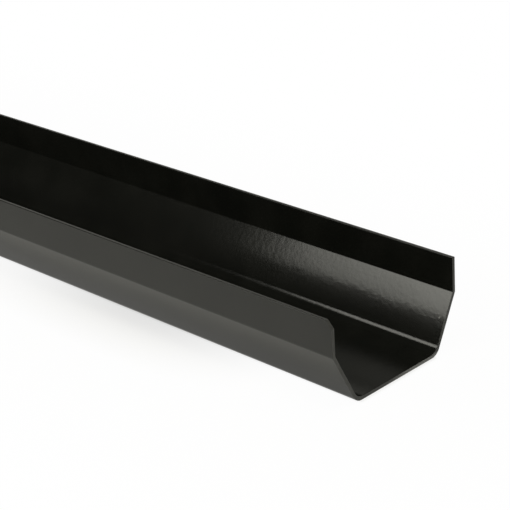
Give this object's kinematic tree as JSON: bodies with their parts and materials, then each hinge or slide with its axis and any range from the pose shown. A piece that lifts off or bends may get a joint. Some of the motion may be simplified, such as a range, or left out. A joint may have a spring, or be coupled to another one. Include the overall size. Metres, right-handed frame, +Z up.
{
  "type": "gutter section",
  "caption": "Straight open-topped rainwater gutter in black plastic, with a flat sole, sloping lower walls, upright upper walls and a corner of a rim cut off; carries roof water to an outlet.",
  "frame": {"origin": "middle of the sole's flat underside, half way along the length", "axes": "+X along the gutter, towards the end whose front rim corner is cut off; +Y from the front wall to the back wall; +Z up, from the sole to the open top"},
  "size_m": [2, 0.114, 0.0614],
  "materials": {
    "black_plastic": "semi-gloss black, with the slight orange peel and fine die lines of extruded plastic"
  },
  "bodies": {
    "root": {"gutter_channel": "black_plastic"}
  },
  "joints": []
}
